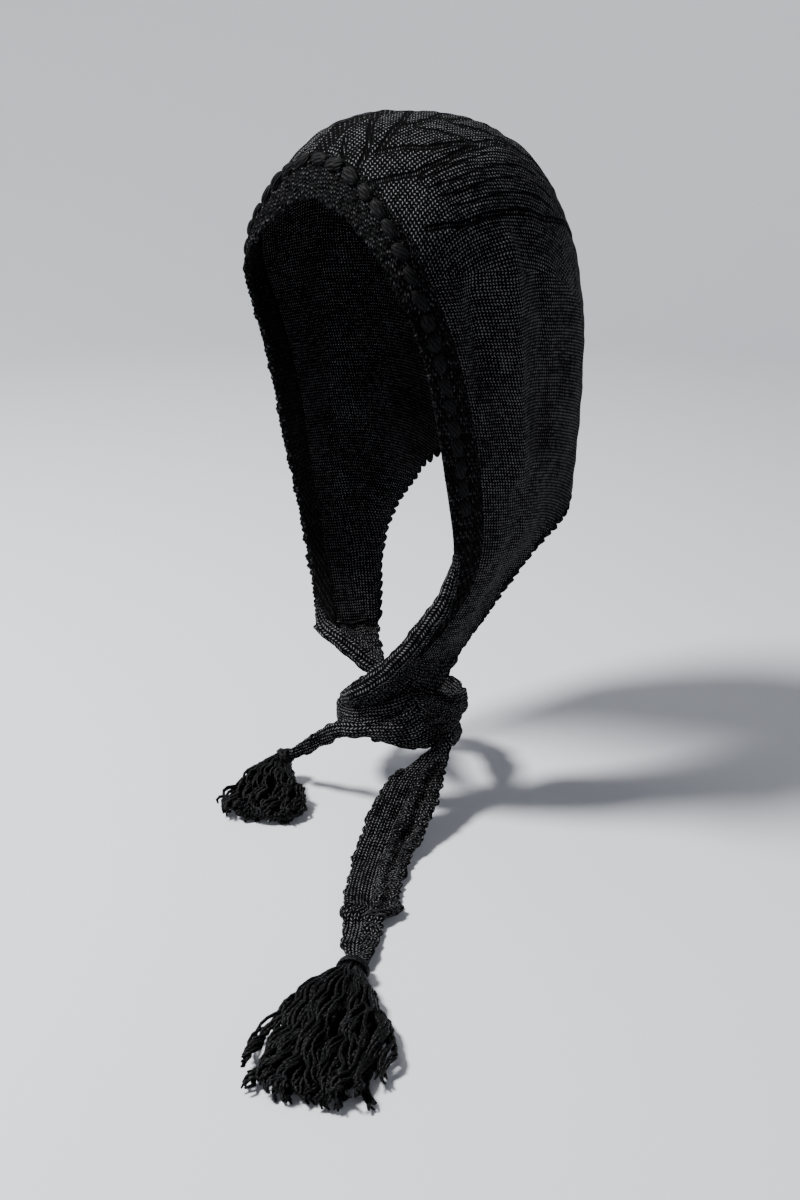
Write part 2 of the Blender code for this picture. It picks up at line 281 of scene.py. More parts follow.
def bumpMaterial(name, look):
    # single turned loops: a ridge across each stitch, bent round its middle, offset in every other column
    yarn = YarnShader(name)
    across, along = yarn.uv("stitches")
    drift = (yarn.noise(look["driftScale"], 3.0) - 0.5) * look["wander"]
    across = across + drift
    along = along + drift
    half = (across * 0.5).math("FLOOR") * 0.5
    arc = abs((across * math.pi).math("SINE"))
    loop = wave(along + half + arc * look["bend"])
    height = loop * (look["bend"] + arc * (1 - look["bend"]))
    fibre = yarn.noise(look["fibreScale"], 1.0)
    chance = yarn.chance(across, along)
    # the loop height colours the band: painted shade between the loops, painted highlights on their tops
    paintedLight = height * (0.4 + chance * 0.8)
    colour = yarn.shades(look, paintedLight, look["midRange"], paintedLight, look["highlightRange"])
    rough = look["rough"] + (fibre - 0.5) * 0.3 + (1.0 - height) * look["dull"]
    return yarn.finish(colour, rough, height + fibre * 0.2 + chance * 0.2, look)


# puffs and tassels: the last colour is a painted highlight on the ply ridges; the painted shade comes from the
# knit look
puffLook = dict(knitLook, depth=0.0003, mid=(0.005, 0.005, 0.0055), paintedHighlight=(0.026, 0.026, 0.028),
            shine=0.06, rough=0.45, dull=0.25, fibreScale=3000.0, patchScale=60.0,
            midRange=(0.1, 1.0), highlightRange=(0.52, 0.85))
tasselLook = dict(puffLook, mid=(0.0028, 0.0028, 0.003), paintedHighlight=(0.05, 0.05, 0.054),
              shine=0.09, rough=0.36, dull=0.16)


def strandMaterial(name, look):
    # plied yarn: slanting ridges, where the turns round the strand are added to the way along it
    yarn = YarnShader(name)
    around, along = yarn.uv("stitches")
    ply = wave(around * 2.0 + along)
    fibre = yarn.noise(look["fibreScale"], 1.0)
    shade = yarn.noise(look["patchScale"], 3.0)
    # the ply colours the strand: painted shade in the grooves between plies, painted highlights on the ridges
    # where the shade noise is high
    colour = yarn.shades(look, ply * (0.5 + shade), look["midRange"], ply * shade, look["highlightRange"])
    rough = look["rough"] + (fibre - 0.5) * 0.3 + (1.0 - ply * shade) * look["dull"]
    return yarn.finish(colour, rough, ply + fibre * 0.25, look)


crownYarn = knitMaterial("crown_knit", knitLook)
borderYarn = bumpMaterial("border_knit", borderLook)
tieYarn = knitMaterial("tie_knit", dict(knitLook, depth=0.0012, legs=0.8, rows=0.95, slant=1.0))
puffYarn = strandMaterial("puff_yarn", puffLook)
tasselYarn = strandMaterial("tassel_yarn", tasselLook)
print("yarn materials made")


class Patchwork:
    # gathers grids of points and faces, with a stitch map and a flat map
    def __init__(self, name):
        self.name = name
        self.count = self.lidCount = 0
        self.points, self.faces, self.stitch, self.flat = [], [], [], []
        self.masks = {}

    def add(self, points, **masks):
        # the numbers of the new points, in the shape of their grid; a mask not given is zero
        shape = points.shape[:-1]
        size = int(np.prod(shape))
        self.points.append(points.reshape(-1, 3))
        for key in {**self.masks, **masks}:
            values = np.asarray(masks.get(key, np.zeros(size)), float).reshape(-1)
            self.masks.setdefault(key, [np.zeros(self.count)]).append(values)
        start = self.count
        self.count += size
        return np.arange(start, start + size).reshape(shape)

    def quads(self, index, across, along, rect):
        # a quad between each four neighbours of the last two axes; in the flat map the grids share the rect
        m, n = index.shape[-2:]
        index = index.reshape(-1, m, n)
        columns = math.ceil(math.sqrt(len(index)))
        cell = np.arange(len(index))[:, None, None]
        part = 0.92 if columns > 1 else 1.0
        left, low, width, height = rect
        flatU = left + width / columns * (cell % columns + part * np.linspace(0, 1, m)[:, None])
        height /= math.ceil(len(index) / columns)
        flatV = low + height * (cell // columns + part * np.linspace(0, 1, n))

        def corners(grid):
            grid = np.broadcast_to(grid, index.shape)
            around = [grid[:, :-1, :-1], grid[:, 1:, :-1], grid[:, 1:, 1:], grid[:, :-1, 1:]]
            return np.stack(around, axis=-1).reshape(-1, 4)

        self.faces.extend(corners(index).tolist())
        self.stitch.append(np.stack([corners(across), corners(along)], axis=-1).reshape(-1, 2))
        self.flat.append(np.stack([corners(flatU), corners(flatV)], axis=-1).reshape(-1, 2))

    def lids(self, *rings):
        # one flat face on each ring of points, a small circle in the top row of the flat map
        for ring in rings:
            angle = np.linspace(0, 2 * math.pi, len(ring), endpoint=False)
            circle = np.stack([np.cos(angle), np.sin(angle)], axis=1)
            self.faces.append(ring.tolist())
            self.stitch.append(circle * 0.5)
            self.flat.append(circle * 0.008 + (0.02 + 0.02 * (self.lidCount % 48), 0.985))
            self.lidCount += 1

    def build(self, material, slotName, *nodes):
        item = addMesh(self.name, np.concatenate(self.points), self.faces, material)
        mesh = item.data
        for layer, values in (("stitches", self.stitch), ("OFBake", self.flat)):
            made = mesh.uv_layers.new(name=layer)
            made.uv.foreach_set("vector", np.concatenate(values).astype(np.float32).reshape(-1))
        for key, values in self.masks.items():
            made = mesh.attributes.new(key, "FLOAT", "POINT")
            made.data.foreach_set("value", np.concatenate(values).astype(np.float32))
        mesh.update()
        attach(item, "root")
        if nodes:
            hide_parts(*nodes)
        print(self.name, "made,", sum(len(face) - 2 for face in self.faces), "triangles")
        return item


def spline(knots, values, at):
    # natural cubic through the values at the knots: the bends solve a three-band system
    knots = np.asarray(knots, float)
    values = np.asarray(values, float)
    count = len(knots)
    step = np.diff(knots)
    system = np.eye(count)
    right = np.zeros_like(values)
    for i in range(1, count - 1):
        system[i, i - 1:i + 2] = (step[i - 1], 2 * (step[i - 1] + step[i]), step[i])
        right[i] = 6 * ((values[i + 1] - values[i]) / step[i] - (values[i] - values[i - 1]) / step[i - 1])
    bend = np.linalg.solve(system, right.reshape(count, -1)).reshape(values.shape)
    at = np.asarray(at, float)
    i = np.clip(np.searchsorted(knots, at) - 1, 0, count - 2)
    spread = at.shape + (1,) * (values.ndim - 1)
    before = (at - knots[i]).reshape(spread)
    after = (knots[i + 1] - at).reshape(spread)
    width = step[i].reshape(spread)
    cubic = (bend[i] * after ** 3 + bend[i + 1] * before ** 3) / (6 * width)
    start = values[i] / width - bend[i] * width / 6
    end = values[i + 1] / width - bend[i + 1] * width / 6
    return cubic + start * after + end * before


def unit(vectors):
    return vectors / np.maximum(np.linalg.norm(vectors, axis=-1, keepdims=True), 1e-12)


def gridNormals(points):
    # the cross product of the two directions of the grid
    return unit(np.cross(np.gradient(points, axis=0), np.gradient(points, axis=1)))


def ripples(points, waves, shift=0):
    # soft noise, each part a sum of twelve sines through space: its height, the waves' size and its seed
    total = np.zeros(points.shape[:-1])
    for height, size, seed in waves:
        draw = np.random.default_rng(seed + shift)
        for _ in range(12):
            way = unit(draw.normal(size=3)) * 2 * math.pi / (size * draw.uniform(0.7, 1.5))
            total += height / 3.5 * np.sin(points @ way + draw.uniform(0, 2 * math.pi))
    return total


def rise(value, low, width):
    # 0 up to low, then straight up to 1 over the width
    return np.clip((value - low) / width, 0, 1)


def wayAlong(points, axis=0):
    # the way covered from the first point to each point
    way = np.cumsum(np.linalg.norm(np.diff(points, axis=axis), axis=-1), axis=axis)
    return np.concatenate([0 * np.take(way, [0], axis=axis), way], axis=axis)


def closed(index):
    return np.concatenate([index, index[..., :1]], axis=-1)


def tableSpline(table, count):
    # even places along the rows of a table in mm, and the spline through the rows there, in metres
    at = np.linspace(0, len(table) - 1, count)
    return at, spline(np.arange(len(table)), np.array(table) / 1000, at)


def between(at, knots, table):
    # straight values between the knots, for each column of the table
    return np.stack([np.interp(at, knots, column) for column in table.T], axis=-1)


# the cap, in mm: a row for each arch from the face edge to the nape edge, from the middle to the tie root
cap = dict(
    archAt=(0, 0.09, 0.2, 0.34, 0.48, 0.63, 0.8, 1.0),
    alongAt=(0, 0.125, 0.31, 0.5, 0.67, 0.82, 1.0),
    arches=(
        ((0, -79, -43), (40, -79, -59), (71, -76, -94), (78, -57, -145), (79, -39, -225), (74, -30, -286),
         (40, -47, -348)),
        ((0, -72, -20), (44, -71, -39), (78, -62, -87), (84, -37, -148), (85, -19, -228), (76, -15, -290),
         (41, -33, -352)),
        ((0, -45, -1), (49, -42, -20), (84, -34, -84), (88, -14, -156), (88, -2, -234), (76, -3, -294),
         (42, -22, -355)),
        ((0, 4, 3), (52, 4, -14), (87, 3, -86), (89, 12, -166), (88, 16, -240), (75, 8, -297),
         (43, -12, -358)),
        ((0, 58, -6), (51, 55, -24), (85, 46, -95), (87, 41, -178), (86, 33, -247), (72, 17, -298),
         (43, -3, -360)),
        ((0, 104, -40), (47, 98, -59), (79, 81, -120), (83, 63, -196), (81, 47, -256), (69, 24, -298),
         (42, 3, -361)),
        ((0, 128, -112), (43, 121, -128), (72, 100, -170), (78, 79, -224), (75, 58, -264), (66, 33, -298),
         (41, 7, -362)),
        ((0, 126, -232), (39, 121, -235), (61, 108, -245), (72, 92, -257), (72, 74, -273), (66, 43, -299),
         (41, 11, -361)),
    ),
    # soft folds: start, end, half width, height out of the cloth
    folds=(
        ((85, -28, -95), (88, -18, -150), 9, -5.5), ((86, 2, -70), (88, 14, -215), 10, 5.0),
        ((84, 34, -95), (86, 40, -200), 9, -3.0), ((74, 76, -120), (78, 66, -225), 12, 3.0),
        ((50, 100, -110), (56, 104, -215), 11, -3.0), ((16, 118, -120), (20, 126, -225), 12, 3.0),
        ((-18, 118, -110), (-22, 124, -225), 11, -3.0), ((-56, 96, -110), (-60, 98, -225), 12, 3.0),
        ((-84, 30, -80), (-87, 34, -210), 10, -3.0), ((-86, 2, -80), (-88, 10, -205), 11, 3.0),
        ((60, -20, -48), (66, 60, -62), 8, -2.0), ((-60, -16, -48), (-66, 62, -62), 8, -2.0),
        ((84, 20, -252), (66, 10, -310), 8, -2.5), ((-84, 20, -252), (-66, 10, -310), 8, -2.5),
    ),
    # where the folds fade at the face edge and at the nape edge
    calm=(0.04, 0.12, 0.06),
    stitch=0.0023, row=0.0024, sideStitch=0.0021,
)


def capPoints(us, vs):
    # a spline through the arches front to back, one along each arch, then each fold as a bell across its line
    half = np.array(cap["arches"]) / 1000
    whole = np.concatenate([half[:, :0:-1] * (-1, 1, 1), half], axis=1)
    along = np.array(cap["alongAt"])
    along = np.concatenate([-along[:0:-1], along])
    points = spline(along, np.swapaxes(spline(cap["archAt"], whole, vs), 0, 1), us)
    lift = np.zeros(points.shape[:2])
    for start, end, width, height in cap["folds"]:
        a = np.array(start) / 1000
        way = np.array(end) / 1000 - a
        t = np.clip((points - a) @ way / (way @ way), 0, 1)
        off = np.linalg.norm(points - (a + t[..., None] * way), axis=2)
        lift += height / 1000 * np.exp(-(off / (width / 1000)) ** 2)
    start, width, endWidth = cap["calm"]
    calm = rise(vs, start, width) * rise(1.0 - vs, 0, endWidth)
    return points + gridNormals(points) * (lift * calm)[..., None]


def stitchMap(points, us):
    # stitches along each arch, counted from the middle line and from the flap ends; rows from the first line
    across = wayAlong(points)
    middle = np.argmin(np.abs(us))
    across = across - across[middle]
    sides = across.copy()
    sides[:middle] -= across[:1]
    sides[middle:] -= across[-1:]
    return across / cap["stitch"], sides / cap["sideStitch"], wayAlong(points, 1) / cap["row"]


def stepped(stops):
    # values from one stop to the next, each stretch with its own number of steps
    parts = [np.linspace(a, b, count, endpoint=False) for (a, count), (b, _) in zip(stops[:-1], stops[1:])]
    return np.concatenate(parts + [[stops[-1][0]]])


def lineDistance(x, y, line):
    # the least distance from each place to the stretches of a line of points
    best = np.full(x.shape, 1e9)
    for (ax, ay), (bx, by) in zip(line[:-1], line[1:]):
        dx, dy = bx - ax, by - ay
        t = np.clip(((x - ax) * dx + (y - ay) * dy) / (dx * dx + dy * dy), 0, 1)
        best = np.minimum(best, np.hypot(x - ax - t * dx, y - ay - t * dy))
    return best


# the crown's lace lines as (u, v), mirrored over the spine; the last number of each is its strength
lace = dict(
    spine=((-0.01, 0.09), (-0.004, 0.18), (0.0, 0.25), (0.0, 0.34), (0.0, 0.72)),
    halfArch=0.42, depth=0.4, near=4, far=8, fade=(0.09, 0.01, 0.8, 0.08),
    lines=(
        (((0.05, 0.095), (0.042, 0.11), (0.022, 0.15)), 1.0),
        (((0.08, 0.095), (0.073, 0.133), (0.06, 0.165), (0.032, 0.205), (0.016, 0.24)), 1.0),
        (((0.083, 0.158), (0.07, 0.205), (0.055, 0.253), (0.025, 0.307), (0.014, 0.325)), 1.0),
        (((0.083, 0.158), (0.105, 0.208), (0.12, 0.247), (0.125, 0.352), (0.115, 0.415), (0.118, 0.485),
         (0.125, 0.56)), 1.0),
        (((0.065, 0.255), (0.065, 0.283), (0.057, 0.32), (0.03, 0.383), (0.014, 0.41)), 1.0),
        (((0.065, 0.255), (0.08, 0.265), (0.093, 0.295), (0.115, 0.33), (0.12, 0.352)), 1.0),
        (((0.06, 0.34), (0.058, 0.38), (0.035, 0.45), (0.014, 0.48)), 1.0),
        (((0.06, 0.34), (0.08, 0.36), (0.1, 0.42), (0.11, 0.48)), 1.0),
        (((0.108, 0.1), (0.13, 0.145), (0.145, 0.188), (0.145, 0.26), (0.13, 0.348),
         (0.12, 0.43)), 1.0),
        (((0.152, 0.17), (0.158, 0.22), (0.152, 0.305), (0.14, 0.37), (0.138, 0.463),
         (0.15, 0.56)), 0.62),
        (((0.172, 0.19), (0.176, 0.26), (0.166, 0.34), (0.156, 0.43), (0.166, 0.54)), 0.62),
        (((0.19, 0.2), (0.194, 0.27), (0.184, 0.35), (0.176, 0.43), (0.184, 0.52)), 0.62),
        (((0.208, 0.21), (0.212, 0.28), (0.204, 0.36), (0.2, 0.44), (0.204, 0.52)), 0.62),
        (((0.225, 0.15), (0.238, 0.223), (0.233, 0.302), (0.23, 0.383), (0.23, 0.48),
         (0.195, 0.615)), 1.0),
        (((0.125, 0.56), (0.145, 0.64), (0.15, 0.72)), 0.8),
    ),
)


def laceMasks(us, vs):
    # places in metres on the cloth, to each side of the spine: u times half an arch, v times the depth
    half, depth, near, far = lace["halfArch"], lace["depth"], lace["near"], lace["far"]
    spineU, spineV = np.transpose(lace["spine"])

    def centre(v):
        return np.interp(v, spineV, spineU) * half

    x = np.abs((us * half)[:, None] - centre(vs))
    y = np.broadcast_to(vs * depth, x.shape)
    start, startWidth, end, endWidth = lace["fade"]
    seed = np.clip(far - x * 1000, 0, far) * rise(vs, start, startWidth) * rise(end - vs, 0, endWidth)
    groove = np.zeros(x.shape)
    for line, strength in lace["lines"]:
        off = lineDistance(x, y, [(u * half - centre(v), v * depth) for u, v in line])
        groove = np.maximum(groove, np.clip(near * strength - off * 1000, 0, near))
    return groove, seed


# the flat map of a closed sheet: margin and width, then the inner side and the rims above the split
flatMap = dict(margin=0.005, width=0.99, inner=0.7, front=0.74, back=0.82, rim=0.06)


# the grids' part of the puffs' and the tassels' flat maps
flatRect = (0.005, 0.005, 0.99, 0.84)


def shell(piece, outer, base, wall, picks, across, along, split, blocks=None, **masks):
    # a closed sheet: the outer grid in full, an inner grid with only some of its lines, rims and two ends;
    # each block is a stretch of lines with its own count of stitches across
    skin = piece.add(outer, **masks)
    inner = piece.add((base - gridNormals(base) * wall)[:, picks])
    margin, full, above = flatMap["margin"], flatMap["width"], 1 - split
    last = len(skin) - 1
    for start, end, count in blocks or [(0, last, across)]:
        part = slice(start, end + 1)
        left, width = margin + full * start / last, full * (end - start) / last
        piece.quads(skin[part], count[part], along[part], (left, margin, width, split - 2 * margin))
        piece.quads(inner[part, ::-1], count[part][:, picks[::-1]], along[part][:, picks[::-1]],
                    (left, split, width, above * flatMap["inner"]))
    for place, line, pair, rows in (("front", 0, (inner, skin), (-1, 0)), ("back", -1, (skin, inner), (0, 1))):
        rim = np.stack([grid[:, line] for grid in pair], axis=1)
        piece.quads(rim, across[:, line, None], along[:, line, None] + np.array(rows),
                    (margin, split + above * flatMap[place], full, above * flatMap["rim"]))
    piece.lids(np.concatenate([skin[0], inner[0, ::-1]]), np.concatenate([skin[-1, ::-1], inner[-1]]))


hood = dict(
    start=0.099, wall=0.003, split=0.86, innerEach=13, firstRow=12, sidesFrom=0.3,
    acrossStops=((-1.0, 52), (-0.28, 190), (0.28, 52), (1.0, 0)),
    backStops=((0.0, 215), (0.62, 45), (1.0, 0)),
    edge=0.01, lineSink=0.0004, lineRange=(1.6, 1.6), dotSink=0.0003, dotRange=(2.5, 2),
    waves=((0.0004, 0.03, 3), (0.0003, 0.01, 4)), dive=0.0016, diveWidth=0.016,
)


def makeCrown():
    # the cap's surface, sunk along the lace lines and the spine; its front dives under the border
    us = stepped(hood["acrossStops"])
    vs = hood["start"] + (1 - hood["start"]) * stepped(hood["backStops"])
    last = len(vs) - 1
    base = capPoints(us, vs)
    groove, seed = laceMasks(us, vs)
    edge = rise(np.minimum(vs - vs[0], 1 - vs), 0, hood["edge"])
    relief = ripples(base, hood["waves"])
    relief -= hood["lineSink"] * rise(groove, *hood["lineRange"])
    relief -= hood["dotSink"] * rise(seed, *hood["dotRange"])
    dive = hood["dive"] * (1 - rise(vs, vs[0], hood["diveWidth"])) ** 2
    outer = base + gridNormals(base) * (relief * edge - dive)[..., None]
    across, sides, along = stitchMap(base, us)
    near, far = np.searchsorted(us, (-hood["sidesFrom"], hood["sidesFrom"]))
    blocks = [(0, near, sides), (near, far, across), (far, len(us) - 1, sides)]
    picks = np.append(np.arange(0, last, hood["innerEach"]), last)
    piece = Patchwork("crown_knit")
    shell(piece, outer, base, hood["wall"], picks, across, along + hood["firstRow"],
          hood["split"], blocks, lace=groove, seed=seed)
    crown = piece.build(crownYarn, "knit", "crown")


makeCrown()

border = dict(
    steps=1230, rows=44, to=0.1085, wall=0.0034, split=0.8,
    innerRows=(0, 2, 5, 10, 18, 27, 36, 44), arch=0.001, droop=0.0006, droopRange=(0.9, 0.1),
    bump=0.0009, pitch=0.0027, rowPitch=0.0024, bumpSeed=5,
    acrossDrift=((0.0006, 0.012, 11),), backDrift=((0.0005, 0.009, 12),),
    waves=((0.0006, 0.011, 13), (0.0004, 0.005, 14)),
    # grooves beside the puffs: how far back from their line, half width, depth
    grooves=((0.0052, 0.0016, 0.0009), (-0.005, 0.0014, 0.0006)),
    rim=0.0016, rimPitch=0.0036, rimDepth=0.0016, rimDrift=((0.35, 0.02, 15),),
    rimWaves=((0.3, 0.006, 16),),
)
puff = dict(
    lineU=(0, 0.07, 0.16, 0.29, 0.38, 0.5, 0.62, 0.72),
    lineV=(0.084, 0.084, 0.078, 0.06, 0.047, 0.036, 0.038, 0.04),
    pitch=0.014, end=0.7, size=(0.0064, 0.0041, 0.003), lift=0.0012, seed=21,
    jitter=(-0.0012, 0.0012), lean=(-0.15, 0.45), grow=(0.86, 1.12), strands=9, perStrand=5, rings=17,
    ends=(0.03, 0.97), groove=0.28, twist=0.9,
)


def bumps(s, d, pitch, rowPitch, seed):
    # loops in rows: the product of two half sines over each cell, every other row moved by half
    draw = np.random.default_rng(seed)
    heights = draw.uniform(0.35, 1.25, (64, 1024))
    moves = draw.uniform(-0.3, 0.3, 64)
    row = d / rowPitch
    line = np.floor(row).astype(int)
    column = s / pitch + 0.5 * (line % 2) + moves[line % 64]
    cell = np.floor(column).astype(int)
    loop = np.sin(np.pi * (column - cell)) * np.sin(np.pi * (row - line))
    return np.abs(loop) ** 0.8 * heights[line % 64, cell % 1024]


def makeBorder():
    # the cap's first part with a soft arch, bumps, grooves beside the puffs and a rim of half waves
    us = np.linspace(-1, 1, border["steps"] + 1)
    vs = border["to"] * np.linspace(0, 1, border["rows"] + 1)
    base = capPoints(us, vs)
    across, _, along = stitchMap(base, us)
    s = across * cap["stitch"]
    d = along * cap["row"]
    wide = d[:, -1:]
    puffAt = np.interp(np.abs(us), puff["lineU"], puff["lineV"])[:, None] / border["to"] * wide
    lift = border["arch"] * np.sin(np.pi * d / wide)
    lift -= border["droop"] * rise(d / wide, *border["droopRange"])
    moved = (s + ripples(base, border["acrossDrift"]), d + ripples(base, border["backDrift"]))
    lift += border["bump"] * bumps(*moved, border["pitch"], border["rowPitch"], border["bumpSeed"])
    lift += ripples(base, border["waves"])
    for place, width, depth in border["grooves"]:
        lift -= depth * np.exp(-((d - puffAt - place) / width) ** 2)
    rim = base[:, :1]
    picots = s[:, :1] / border["rimPitch"] + ripples(rim, border["rimDrift"])
    reach = np.abs(np.sin(np.pi * picots)) ** 0.7 + ripples(rim, border["rimWaves"])
    reach = border["rim"] * reach * np.exp(-d / border["rimDepth"])
    ahead = unit(rim - base[:, 1:2])
    points = base + gridNormals(base) * lift[..., None] + ahead * reach[..., None]
    piece = Patchwork("border_band")
    shell(piece, points, base, border["wall"], np.array(border["innerRows"]), across, along, border["split"])
    return piece.build(borderYarn, "border_knit", "front_border"), base, us


def makePuffs(base, us):
    # the puffs' line lies across the band at its own depth, and a puff comes at each equal step along it
    rows = np.flatnonzero(np.abs(us) <= puff["end"])
    place = np.interp(np.abs(us[rows]), puff["lineU"], puff["lineV"]) / border["to"] * border["rows"]
    low = np.clip(np.floor(place).astype(int), 0, border["rows"] - 1)
    part = (place - low)[:, None]
    line = base[rows, low] * (1 - part) + base[rows, low + 1] * part
    travelled = wayAlong(line)
    count = int(travelled[-1] / puff["pitch"])
    draw = np.random.default_rng(puff["seed"])
    at = (np.arange(count) + 0.5) / count * travelled[-1] + draw.uniform(*puff["jitter"], count)
    spot = between(at, travelled, line)
    up = unit(between(at, travelled, gridNormals(base)[rows, low]))
    way = between(at + 0.002, travelled, line) - between(at - 0.002, travelled, line)
    way = unit(way - up * (way * up).sum(axis=1, keepdims=True))
    side = np.cross(up, way)
    lean = draw.uniform(*puff["lean"], count)[:, None]
    way, side = way * np.cos(lean) + side * np.sin(lean), side * np.cos(lean) - way * np.sin(lean)
    length, width, height = (draw.uniform(*puff["grow"], (count, 3)) * puff["size"]).T[..., None, None]
    phase = draw.uniform(0, 3, count)[:, None, None]
    # each puff: an almond whose radius is a sine from end to end, its outline scalloped into strands
    a = np.linspace(*puff["ends"], puff["rings"])[:, None]
    b = np.linspace(0, 2 * math.pi, puff["strands"] * puff["perStrand"] + 1)
    halfTurns = b * puff["strands"] / 2
    strand = np.abs(np.cos(halfTurns + phase + (a - 0.5) * puff["twist"])) ** 0.6
    ring = np.sin(np.pi * a) ** 0.75 * (1 - puff["groove"] + puff["groove"] * strand)
    x = -np.cos(np.pi * a) * length + 0 * ring
    y = np.cos(b) * ring * width
    z = np.sin(b) * ring * height + puff["lift"]
    axes = ((way, x), (side, y), (up, z))
    points = spot[:, None, None] + sum(axis[:, None, None] * off[..., None] for axis, off in axes)
    piece = Patchwork("border_puffs")
    index = piece.add(points[:, :, :-1])
    piece.quads(closed(index)[:, :, ::-1], halfTurns[::-1] / (2 * math.pi), a * 3.0, flatRect)
    for first, last in zip(index[:, 0, ::-1], index[:, -1]):
        piece.lids(first, last)
    return piece.build(puffYarn, "border_knit")


band, bandBase, bandUs = makeBorder()
puffs = makePuffs(bandBase, bandUs)

edging = dict(
    steps=1300, rows=14, split=0.6, innerRows=(0, 3, 6, 9, 11, 13, 14),
    lastLines=(0.93, 0.965, 1.0),
    under=0.002, base=0.003, reach=0.0046, pitch=0.0074, sizes=(0.55, 1.2), seed=31,
    wall=0.0026, thinning=0.75, bump=0.0006, bumpPitch=0.0025, bumpRow=0.0022, bumpSeed=33,
    waves=((0.0004, 0.006, 34),), tipDroop=0.0012, rootDroop=0.0006,
)


def makeEdging():
    # a narrow strip past the nape edge: its reach is a base and a row of half waves, and it thins to the tips
    us = np.linspace(-1, 1, edging["steps"] + 1)
    edge = capPoints(us, np.array(edging["lastLines"]))
    line = edge[:, 2]
    away = unit(line - edge[:, 1])
    face = gridNormals(edge)[:, 2]
    travelled = wayAlong(line)
    picots = int(round(travelled[-1] / edging["pitch"]))
    place = travelled / travelled[-1] * picots
    draw = np.random.default_rng(edging["seed"])
    sizes = np.interp(place, np.arange(picots + 1), draw.uniform(*edging["sizes"], picots + 1))
    arch = np.abs(np.sin(np.pi * place)) ** 0.6 * sizes
    share = np.linspace(0, 1, edging["rows"] + 1)
    out = share * (edging["under"] + edging["base"] + edging["reach"] * arch)[:, None] - edging["under"]
    base = line[:, None] + away[:, None] * out[..., None]
    s = travelled[:, None] + 0 * out
    lift = edging["bump"] * bumps(s, out + 0.01, edging["bumpPitch"], edging["bumpRow"], edging["bumpSeed"])
    lift += ripples(base, edging["waves"])
    lift -= edging["tipDroop"] * share ** 4 + edging["rootDroop"] * (1 - share) ** 3
    points = base + face[:, None] * lift[..., None]
    wall = edging["wall"] * np.sqrt(1 - edging["thinning"] * share ** 4)[:, None]
    piece = Patchwork("nape_picots")
    shell(piece, points, base, wall, np.array(edging["innerRows"]), s / cap["stitch"], out / cap["row"],
          edging["split"])
    strip = piece.build(borderYarn, "border_knit", "nape_edging")


makeEdging()


